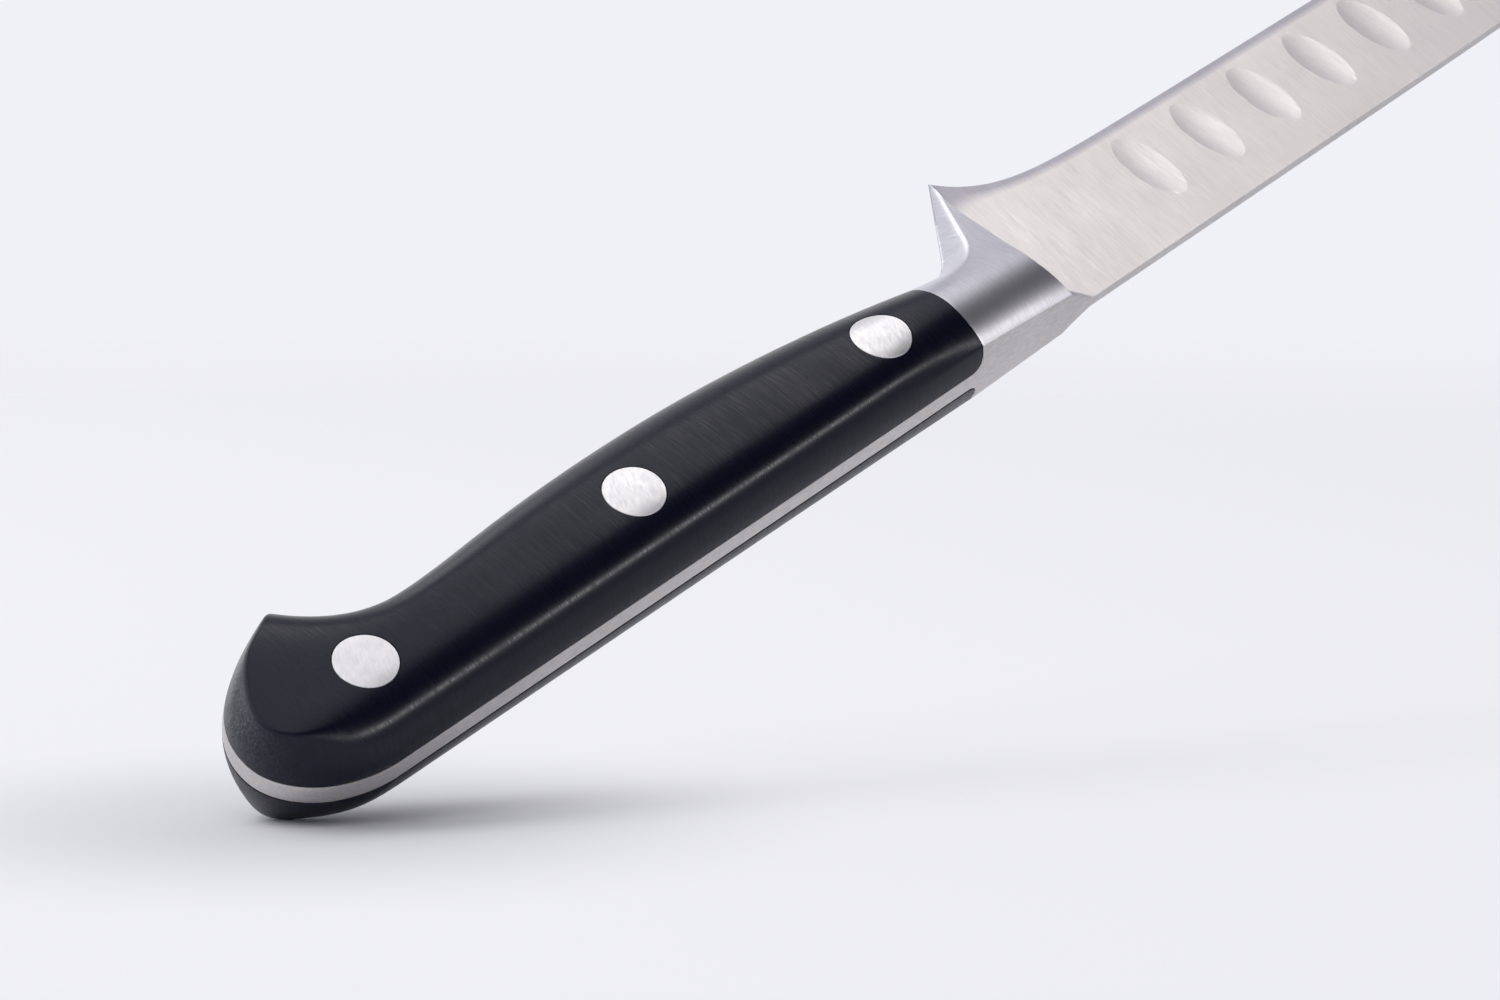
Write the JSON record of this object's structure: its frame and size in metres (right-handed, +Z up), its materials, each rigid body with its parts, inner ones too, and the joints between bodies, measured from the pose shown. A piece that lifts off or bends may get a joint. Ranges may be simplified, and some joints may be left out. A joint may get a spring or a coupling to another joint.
{
  "type": "fillet knife",
  "caption": "Forged fillet knife with a slim scalloped blade, a finger-guard bolster and a full tang between riveted dark grip scales.",
  "frame": {"origin": "under the middle of the knife's outline, on the surface that it lies on", "axes": "+X from the butt to the point, +Y from the back towards the cutting edge, +Z up out of the side that faces the viewer"},
  "size_m": [0.3396, 0.0284, 0.016],
  "materials": {
    "blade_steel": "satin ground across the blade, brushed on the bolster, matt on the back",
    "grip": "satin black with fine sanding lines",
    "rivet": "brushed flush with the scale"
  },
  "bodies": {
    "root": {"forged_blade": "blade_steel", "near_scale": "grip", "far_scale": "grip", "butt_rivet_tube": "rivet", "butt_rivet_pin": "rivet", "middle_rivet_tube": "rivet", "middle_rivet_pin": "rivet", "front_rivet_tube": "rivet", "front_rivet_pin": "rivet"}
  },
  "joints": []
}
